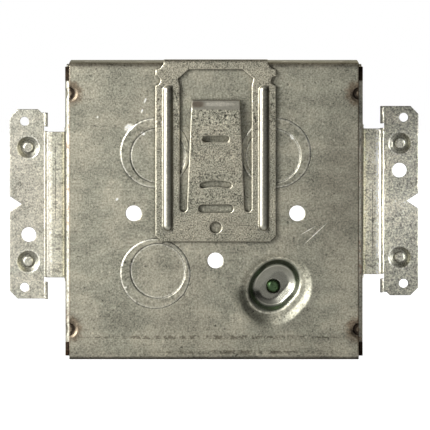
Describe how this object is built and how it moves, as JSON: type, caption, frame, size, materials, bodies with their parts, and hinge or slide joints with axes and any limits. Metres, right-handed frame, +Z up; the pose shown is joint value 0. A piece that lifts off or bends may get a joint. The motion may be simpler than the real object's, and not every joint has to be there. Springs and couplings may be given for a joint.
{
  "type": "square electrical box",
  "caption": "Square welded sheet-steel electrical box with pry-out knockouts, raised ground, hooked rear support with bending tongue, and stepped mounting ears.",
  "frame": {"origin": "centre of the back plate's outer face", "axes": "+X to the right as seen from behind, +Y from the back plate to the open front, +Z up towards the wall that the rear support hooks over"},
  "size_m": [0.1656, 0.0624, 0.12],
  "materials": {
    "galvanised_body": "mottled zinc, satin",
    "galvanised_wall": "mottled zinc, satin",
    "galvanised_support": "coarse mottled zinc, satin",
    "galvanised_ear": "smooth zinc, satin",
    "green_screw": "green over zinc, semi-gloss",
    "zinc_screw": "bright zinc"
  },
  "bodies": {
    "box": {"box_body": "galvanised_body", "left_side_wall": "galvanised_wall", "right_side_wall": "galvanised_wall", "rear_support": "galvanised_support", "left_mounting_ear": "galvanised_ear", "right_mounting_ear": "galvanised_ear"},
    "ground_screw": {"ground_screw": "green_screw"},
    "upper_cover_screw": {"upper_cover_screw": "zinc_screw"},
    "lower_cover_screw": {"lower_cover_screw": "zinc_screw"}
  },
  "joints": [
    {"name": "ground_screw_travel", "type": "slide", "parent": "box", "child": "ground_screw", "axis": [0, 1, 0], "range_m": [-0.0054, 0.003]},
    {"name": "upper_cover_screw_travel", "type": "slide", "parent": "box", "child": "upper_cover_screw", "axis": [0, 1, 0], "range_m": [-0.0019, 0.005]},
    {"name": "lower_cover_screw_travel", "type": "slide", "parent": "box", "child": "lower_cover_screw", "axis": [0, 1, 0], "range_m": [-0.0019, 0.005]}
  ]
}
